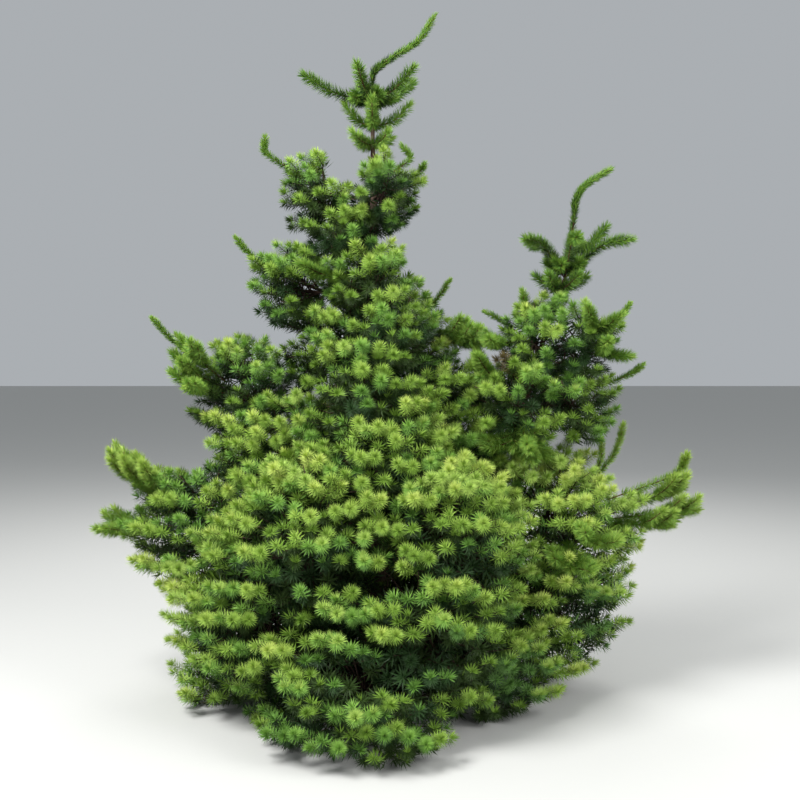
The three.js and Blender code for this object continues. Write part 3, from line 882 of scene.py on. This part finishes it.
def bough_rods():
    """The boughs as tapering rods with a slight wave, and the names of their nodes."""
    rings, sides = BOUGH["steps"]
    share = np.linspace(0, 1, rings)
    rods, names = [], []
    for mass in filter(has_bough, MASSES):
        wave = 1 + BOUGH_WAVE * np.sin(90 * share + 50 * mass["bulk"])
        radii = taper(BOUGH["radii"], share) * wave
        rods.append(tubes(on_curve(bough_route(mass), share)[None], radii, sides))
        names.append(mass["name"].replace("foliage", "bough"))
    return merged(rods), names


def above_ground(parts):
    """Several rods as one, with no point under the ground."""
    points, faces = merged(parts)
    points[:, 2] = np.maximum(points[:, 2], GROUND_CLEAR)
    return points, faces


def branch_rods(branches, shoots):
    """The masses' own stems, and the branches that carry a shoot."""
    used = np.unique(shoots["branch"])
    share = np.linspace(0, 1, 4)
    lines = three_point([end[used, None] for end in branches["ends"]], share)
    stems = np.stack([MASS_STEMS[:, 0], MASS_STEMS.mean(1), MASS_STEMS[:, 1]], 1)
    return above_ground([tubes(stems, STEM_RADII, 6), tubes(lines, taper(BRANCH_RADII, share), 3)])


def twig_rods(shoots):
    """The twigs, which run on into their shoots. The outermost bend where the shoot starts."""
    tips = shoots["base"] + 0.9 * (shoots["tip"] - shoots["base"])
    outer = shoots["layer"] == 0
    bent = np.stack([shoots["root"], shoots["base"], tips], 1)[outer]
    straight = np.stack([shoots["root"], tips], 1)[~outer]
    return above_ground([tubes(bent, TWIG_RADII, 3), tubes(straight, SHORT_TWIG_RADII, 3)])


def vigorous_rods(rows):
    """The wood of the long shoots, the whorls and the leaders."""
    share = np.linspace(0, 1, 10)
    rods = []
    for _, route, _, _, is_leader in rows:
        radii = taper(LEADER_RADII if is_leader else SHOOT_RADII, share)
        rods.append(tubes(on_curve(route, share)[None], radii, 5))
    return merged(rods)


# Needles


def kites(seeds, rng):
    """Needles as kites of two triangles. Each leaves its place at its lean from the shoot's
    direction, turned about it. Its widest point is two fifths along, and both halves fold down
    from the midrib. Returns four points to a needle: foot, side, tip and side."""
    way = seeds["way"]
    helper = np.where(np.abs(way[:, 2:3]) < 0.85, UP, np.array([0.0, 1.0, 0.0]))
    side, lift = square_to(way, helper)
    turn, lean = seeds["turn"][:, None], seeds["lean"][:, None]
    outward = np.cos(turn) * side + np.sin(turn) * lift
    needle = unit(np.cos(lean) * way + np.sin(lean) * outward + NEEDLE_LIFT * UP)
    roll = rng.uniform(-NEEDLE_ROLL, NEEDLE_ROLL, (len(way), 1))
    across, flat = square_to(needle, way)
    across = np.cos(roll) * across + np.sin(roll) * flat
    flat = np.cross(across, needle)
    size = seeds["size"][:, None]
    half = 0.5 * seeds["width"][:, None]
    waist = seeds["place"] + NEEDLE_WAIST * size * needle - NEEDLE_FOLD * half * flat
    tip = seeds["place"] + size * needle
    return np.stack([seeds["place"], waist - half * across, tip, waist + half * across], 1)


def needle_pieces(prefix, points, kinds, nodes, slot, colours):
    """One piece for each kind of needle among some, which stands for the nodes it grows on."""
    for name, index in KIND.items():
        mine = kinds == index
        if not mine.any():
            continue
        finish = bpy.data.materials.get(f"needles_{name}")
        if finish is None:
            finish = plain_material(f"needles_{name}", getattr(colours, name), *NEEDLE_FINISH)
        first = 4 * np.arange(mine.sum())[:, None]
        faces = np.concatenate([first + [0, 2, 1], first + [0, 3, 2]], 1).reshape(-1, 3)
        shape = (points[mine].reshape(-1, 3), faces)
        carriers = [NAMES[i] for i in np.unique(nodes[mine])]
        tree_piece(f"{prefix}_{name}", shape, finish, carriers, smooth=False)


def crown_seeds(shoots, sizes, rng):
    """Seeds of the needles of the crown's shoots. They go round each shoot by the golden angle,
    lean out at its foot and point forward at its tip, so that a shoot ends in a round brush."""
    counts = (sizes.outer_needles, sizes.middle_needles, sizes.inner_needles)
    count = np.array(counts)[shoots["layer"]]
    spray = np.repeat(np.arange(len(count)), count)
    number = np.arange(len(spray)) - np.repeat(np.cumsum(count) - count, count)
    share = (number + rng.uniform(0.1, 0.9, len(spray))) / count[spray]
    cap = np.clip((share - 0.55) / 0.45, 0, 1)
    along = np.minimum(share / 0.6, 0.9 + 0.1 * cap)[:, None] * shoots["long"][spray][:, None]
    lean = np.radians(82 - 8 * share - 66 * cap**1.2)
    size = sizes.needle_length * rng.uniform(0.85, 1.1, len(spray))
    _, _, longer, wider = np.array(LAYERS)[shoots["layer"][spray]].T
    return {
        "place": shoots["base"][spray] + along * shoots["way"][spray],
        "way": shoots["way"][spray],
        "turn": number * GOLDEN_ANGLE + 6.0 * chance(spray, 3),
        "lean": lean + (0.12 + 0.24 * cap) * rng.uniform(-1, 1, len(spray)),
        "size": size * longer,
        "spray": spray,
        "share": share,
        "width": sizes.needle_width * wider,
    }


def old_seeds(shoots, sizes, rng):
    """Seeds of the older, wider needles that stand on the twig behind each outer tuft. They fill
    the hollows between tufts with shade."""
    spray = np.repeat(np.flatnonzero(shoots["layer"] < 2), OLD_NEEDLES)
    count = len(spray)
    back = OLD_STRETCH * rng.random(count)[:, None]
    return {
        "place": shoots["base"][spray] - back * shoots["way"][spray],
        "way": shoots["way"][spray],
        "turn": rng.uniform(0, 2 * np.pi, count),
        "lean": rng.uniform(0.7, 1.5, count),
        "size": OLD_LENGTH * sizes.needle_length * rng.uniform(0.85, 1.1, count),
        "spray": spray,
        "share": np.zeros(count),
        "width": np.full(count, OLD_WIDTH * sizes.needle_width),
    }


def vigorous_seeds(rows, sizes, rng):
    """Seeds of the needles of the long shoots, the whorls and the leaders."""
    parts = []
    for index, (_, route, spread, bare, is_leader) in enumerate(rows):
        steps = np.diff(on_curve(route, np.linspace(0, 1, 40)), axis=0)
        length = np.linalg.norm(steps, axis=1).sum()
        per_metre = sizes.leader_needles if is_leader else sizes.long_needles
        count = int(per_metre * length)
        share = bare + (1 - bare) * (np.arange(count) + rng.random(count)) / count
        lean = math.radians(LEADER_LEAN if is_leader else SHOOT_LEAN)
        size = min(SHOOT_NEEDLE, spread / math.sin(lean))
        end = np.clip(share - 1 + BLUNT_END / length, 0, 1) * length / BLUNT_END
        parts.append(
            {
                "place": on_curve(route, 0.985 * share),
                "way": slope_on(route, np.clip(share, 0.01, 0.99)),
                "turn": rng.uniform(0, 2 * np.pi, count),
                "lean": lean * (1 - 0.7 * end) + rng.uniform(-0.2, 0.2, count),
                "size": size * rng.uniform(0.82, 1.05, count),
                "spray": np.full(count, index),
                "share": share,
                "width": np.full(count, sizes.needle_width),
            }
        )
    return {key: np.concatenate([part[key] for part in parts]) for key in parts[0]}


def freshness_and_light(shoots, rng):
    """How fresh each shoot is, with painted light and shade, and whether it is warm in hue. It is
    lighter high in its mass, by painted light; darker deeper in, where needles are older and painted
    shade darkens them; lighter in the brighter tiers, which are partly painted light; and lighter low
    on the flanks, by painted light. Branches differ, and shoots differ a little."""
    mass = shoots["mass"]
    fresh = np.array([each["fresh"] for each in MASSES])[mass]
    # Painted light on the upper part of a mass, painted shade on its lower part
    fresh = fresh + MASS_TOP_PAINTED_LIGHT * (shoots["tip"][:, 2] - CENTRES[mass][:, 2]) / BULKS[mass]
    # Older and in painted shade deeper in the crown; branches differ by chance
    fresh = fresh - DEEP_OLDER_AND_SHADED * shoots["depth"] + BRANCHES_VARY * (chance(shoots["branch"], 5) - 0.5)
    x, _, z = shoots["tip"].T
    # Painted light on the outer flanks below a height
    sunny = np.where(x > 0, RIGHT_SUN, z < LEFT_SUN_TOP) * (z < SUNNY_TOP)
    fresh = fresh + sunny * np.clip(np.abs(x) - SUNNY_START, 0, SUNNY_RANGE)
    fresh = fresh + rng.uniform(-TUFTS_VARY, TUFTS_VARY, len(mass))
    warm = chance(shoots["branch"], 8) + rng.uniform(-0.25, 0.25, len(mass)) < WARM_SHARE
    return fresh, warm


def needle_kinds(fresh, warm, place):
    """The kind of each needle, by its freshness and hue. Low on the right some are bluish."""
    pairs = [np.where(warm, KIND[warmer], KIND[cooler]) for _, warmer, cooler in FRESH_KINDS]
    kind = np.select([fresh > limit for limit, _, _ in FRESH_KINDS], pairs)
    oldest, freshest = BLUISH_RANGE
    bluish = ~warm & (fresh > oldest) & (fresh < freshest)
    bluish &= (place[:, 0] > BLUISH_LEFT) & (place[:, 2] < BLUISH_TOP)
    return np.where(bluish, KIND["blue_green"], kind)


def crown_needles(sizes, rng):
    """Points, kinds and nodes of the crown's needles. In a tuft the tip is fresher, the upper side is
    lighter with painted light and the underside darker with painted shade. The old needles behind it
    are darker, being older and in painted shade, and one small spot is dry."""
    _, shoots = grow_crown(sizes.shelf_spacing, sizes.shoot_length)
    fresh, warm = freshness_and_light(shoots, rng)
    young, old = crown_seeds(shoots, sizes, rng), old_seeds(shoots, sizes, rng)
    seeds = {key: np.concatenate([young[key], old[key]]) for key in old}
    spray = seeds["spray"]
    is_old = np.arange(len(spray)) >= len(young["spray"])
    points = kites(seeds, rng)
    points[..., 2] = np.maximum(points[..., 2], NEEDLE_CLEAR)
    upward = (points[:, 2, 2] - points[:, 0, 2]) / seeds["size"]
    # Tips are fresher; needles that point up get painted light and those that point down painted shade
    fresh = fresh[spray] + TIP_FRESHER * (seeds["share"] - 0.5) + UPSIDE_PAINTED_LIGHT * (upward - 0.25)
    # Old needles behind a tuft are darker: partly older, partly painted shade in the hollows
    kinds = needle_kinds(fresh - OLD_SHADE * is_old, warm[spray], seeds["place"])
    is_dry = np.linalg.norm(shoots["tip"] - DRY_SPOT, axis=1) < DRY_SIZE
    kinds = np.where(is_dry[spray], KIND["dry_brown"], kinds)
    return points, kinds, shoots["mass"][spray]


def vigorous_needles(sizes, rng):
    """Points, kinds and nodes of the needles of the long shoots, the whorls and the leaders. They
    are fresher towards the tips, lighter with painted light on low shoots at the sides, and older on
    the leaders."""
    rows = vigorous_shoots()
    seeds = vigorous_seeds(rows, sizes, rng)
    points = kites(seeds, rng)
    nodes = np.array([NAMES.index(row[0]) for row in rows])[seeds["spray"]]
    x, _, z = seeds["place"].T
    at_side = (z < SUNNY_TOP) & (np.abs(x) > SIDE_REACH)
    fresh = SHOOT_FRESH + SHOOT_FRESHER * seeds["share"]
    fresh = fresh + rng.uniform(-SHOOTS_VARY, SHOOTS_VARY, len(nodes))
    higher = np.clip((z - SIDE_LOW) / SIDE_RISE, 0, 1)
    # Painted light on shoots at the flanks below a height; leaders darker
    fresh += FLANK_PAINTED_LIGHT * at_side * higher - LEADER_OLDER * np.isin(nodes, LEADER_NODES)
    kinds = needle_kinds(fresh, rng.random(len(nodes)) < 0.5, seeds["place"])
    return points, kinds, nodes


# Materials


def noise_material(name, specular, detail, roughness, relief):
    """A material whose noise drives the roughness, from one value to another, and raises a bump
    of a strength and a height. Returns it with its shader and its noise."""
    material = bpy.data.materials.new(name)
    material.use_nodes = True
    nodes, links = material.node_tree.nodes, material.node_tree.links
    shader = nodes["Principled BSDF"]
    shader.inputs["Specular IOR Level"].default_value = specular
    noise = nodes.new("ShaderNodeTexNoise")
    noise.inputs["Detail"].default_value = detail
    spread = nodes.new("ShaderNodeMapRange")
    spread.inputs["To Min"].default_value, spread.inputs["To Max"].default_value = roughness
    bump = nodes.new("ShaderNodeBump")
    bump.inputs["Strength"].default_value, bump.inputs["Distance"].default_value = relief
    links.new(noise.outputs["Fac"], spread.inputs["Value"])
    links.new(spread.outputs["Result"], shader.inputs["Roughness"])
    links.new(noise.outputs["Fac"], bump.inputs["Height"])
    links.new(bump.outputs["Normal"], shader.inputs["Normal"])
    return material, shader, noise


def plain_material(name, colour, roughness, bump_scale, bump_strength):
    """A finish with one plain base colour. Noise varies its roughness and raises a fine bump."""
    roughnesses = (roughness - GLOSS_RANGE, roughness + GLOSS_RANGE)
    material, shader, noise = noise_material(name, 0.22, 3, roughnesses, (bump_strength, 0.001))
    shader.inputs["Base Color"].default_value = (*colour, 1)
    noise.inputs["Scale"].default_value = bump_scale
    place = material.node_tree.nodes.new("ShaderNodeTexCoord")
    material.node_tree.links.new(place.outputs["Object"], noise.inputs["Vector"])
    return material


def bark_material(name, low, high, grain):
    """Bark: noise stretched along the stem mixes two browns and drives roughness and bump."""
    material, shader, noise = noise_material(name, 0.25, 8, (0.95, 0.7), (0.6, 0.003))
    nodes, links = material.node_tree.nodes, material.node_tree.links
    noise.inputs["Scale"].default_value = 1
    noise.inputs["Roughness"].default_value = 0.65
    place = nodes.new("ShaderNodeTexCoord")
    stretch = nodes.new("ShaderNodeMapping")
    stretch.inputs["Scale"].default_value = (grain, grain, 0.35 * grain)
    ramp = nodes.new("ShaderNodeValToRGB")
    for stop, position, colour in zip(ramp.color_ramp.elements, (0.32, 0.7), (low, high)):
        stop.position = position
        stop.color = (*colour, 1)
    links.new(place.outputs["Object"], stretch.inputs["Vector"])
    links.new(stretch.outputs["Vector"], noise.inputs["Vector"])
    links.new(noise.outputs["Fac"], ramp.inputs["Fac"])
    links.new(ramp.outputs["Color"], shader.inputs["Base Color"])
    return material


# Settings


class FirSizes(bpy.types.PropertyGroup):
    """Sizes and counts of the fir's branches, shoots and needles"""

    __annotations__ = {
        name: FloatProperty(name=label, description=text, default=value, min=least, unit="LENGTH")
        for name, label, text, value, least in LENGTHS
    } | {
        name: IntProperty(name=label, description=text, default=value, min=least)
        for name, label, text, value, least in COUNTS
    }


class FirColours(bpy.types.PropertyGroup):
    """Plain colours of the needles, the twigs and the new wood, and the two browns of the bark"""

    __annotations__ = {
        name: FloatVectorProperty(name=label, description=text, default=colour, subtype="COLOR")
        for name, label, text, colour in NEEDLE_COLOURS + WOOD_COLOURS
    }


# Operators


class FIR_OT_bark(bpy.types.Operator):
    """Make the trunk, the second stem and the boughs, with the bark's relief"""

    bl_idname = "fir.bark"
    bl_label = "Trunk, Stem and Boughs"

    def execute(self, context):
        colours = context.scene.fir_colours
        bark = bark_material("bark", colours.bark_low, colours.bark_high, BARK_GRAIN)
        young = bark_material("young_bark", colours.bark_low, colours.new_wood, YOUNG_GRAIN)
        tree_piece("trunk_bark", bark_surface(TRUNK), bark, ["trunk"])
        tree_piece("second_stem_bark", bark_surface(SECOND_STEM), young, ["second_stem"])
        rods, names = bough_rods()
        tree_piece("bough_bark", rods, bark, names)
        return {"FINISHED"}


class FIR_OT_wood(bpy.types.Operator):
    """Grow the mass stems, the branches, the twigs and the wood of the long shoots"""

    bl_idname = "fir.wood"
    bl_label = "Branches and Twigs"

    def execute(self, context):
        sizes, colours = context.scene.fir_sizes, context.scene.fir_colours
        twig = plain_material("twig_wood", colours.twig, *TWIG_FINISH)
        fresh = plain_material("new_wood", colours.new_wood, *NEW_WOOD_FINISH)
        branches, shoots = grow_crown(sizes.shelf_spacing, sizes.shoot_length)
        tree_piece("branches", branch_rods(branches, shoots), twig, MASS_NAMES)
        tree_piece("twigs", twig_rods(shoots), twig, MASS_NAMES)
        rows = vigorous_shoots()
        names = sorted({row[0] for row in rows})
        tree_piece("new_shoot_wood", vigorous_rods(rows), fresh, names)
        return {"FINISHED"}


class FIR_OT_needles(bpy.types.Operator):
    """Set the needles on every shoot, joined by kind"""

    bl_idname = "fir.needles"
    bl_label = "Needles"

    def execute(self, context):
        sizes, colours = context.scene.fir_sizes, context.scene.fir_colours
        rng = np.random.default_rng(NEEDLE_SEED)
        crown = crown_needles(sizes, rng)
        vigorous = vigorous_needles(sizes, rng)
        is_young = np.isin(vigorous[-1], LEADER_NODES)
        long = [each[~is_young] for each in vigorous]
        young = [each[is_young] for each in vigorous]
        needle_pieces("needles", *crown, "needles", colours)
        needle_pieces("shoot_needles", *long, "needles", colours)
        needle_pieces("leader_needles", *young, "young_needles", colours)
        return {"FINISHED"}


class FIR_OT_stage(bpy.types.Operator):
    """Set the floor, the lights and the camera"""

    bl_idname = "fir.stage"
    bl_label = "Floor, Lights and Camera"

    def execute(self, context):
        scene = context.scene
        points = FLOOR_HALF * np.array([[-1, -1, 0], [1, -1, 0], [1, 1, 0], [-1, 1, 0]], float)
        pale = plain_material("pale_floor", FLOOR_COLOUR, *FLOOR_FINISH)
        floor = mesh_object("floor", points, np.array([[0, 1, 2, 3]]), pale, smooth=False)

        room = bpy.data.worlds.new("soft_room")
        room.use_nodes = True
        background = room.node_tree.nodes["Background"]
        background.inputs["Color"].default_value = ROOM_COLOUR
        background.inputs["Strength"].default_value = ROOM_LIGHT
        scene.world = room
        for name, place, width, power in LAMPS:
            light = bpy.data.lights.new(name, "AREA")
            light.size = width
            light.energy = power
            lamp = new_object(name, light)
            lamp.location = place
            lamp.rotation_euler = (LIT_POINT - Vector(place)).to_track_quat("-Z", "Y").to_euler()

        lens = bpy.data.cameras.new("camera")
        lens.lens = CAMERA["lens"]
        lens.sensor_width = CAMERA["sensor"]
        lens.clip_end = CAMERA["sees"]
        camera = new_object("camera", lens)
        camera.location = CAMERA["place"]
        camera.rotation_euler = (math.radians(90 + CAMERA["tilt"]), 0, 0)
        scene.camera = camera
        scene.view_settings.view_transform = "Standard"
        return {"FINISHED"}


class FIR_PT_panel(bpy.types.Panel):
    """Lists the fir's sizes, colours and steps"""

    bl_idname = "FIR_PT_panel"
    bl_label = "Douglas Fir"
    bl_space_type = "VIEW_3D"
    bl_region_type = "UI"
    bl_category = "Fir"

    def draw(self, context):
        for group in (context.scene.fir_sizes, context.scene.fir_colours):
            column = self.layout.column(align=True)
            for name in group.bl_rna.properties.keys():
                if name not in ("name", "rna_type"):
                    column.prop(group, name)
        for operator in OPERATORS:
            self.layout.operator(operator.bl_idname)


OPERATORS = (FIR_OT_bark, FIR_OT_wood, FIR_OT_needles, FIR_OT_stage)
CLASSES = (FirSizes, FirColours, *OPERATORS, FIR_PT_panel)


def register():
    """Tells Blender of the settings, the operators and the panel."""
    for each in CLASSES:
        bpy.utils.register_class(each)
    bpy.types.Scene.fir_sizes = PointerProperty(type=FirSizes)
    bpy.types.Scene.fir_colours = PointerProperty(type=FirColours)


def unregister():
    """Takes them away again, the last first."""
    del bpy.types.Scene.fir_colours
    del bpy.types.Scene.fir_sizes
    for each in reversed(CLASSES):
        bpy.utils.unregister_class(each)


def main():
    """Makes the tree and its stage."""
    register()
    bpy.ops.fir.bark()
    bpy.ops.fir.wood()
    bpy.ops.fir.needles()
    bpy.ops.fir.stage()


if __name__ == "__main__":
    main()
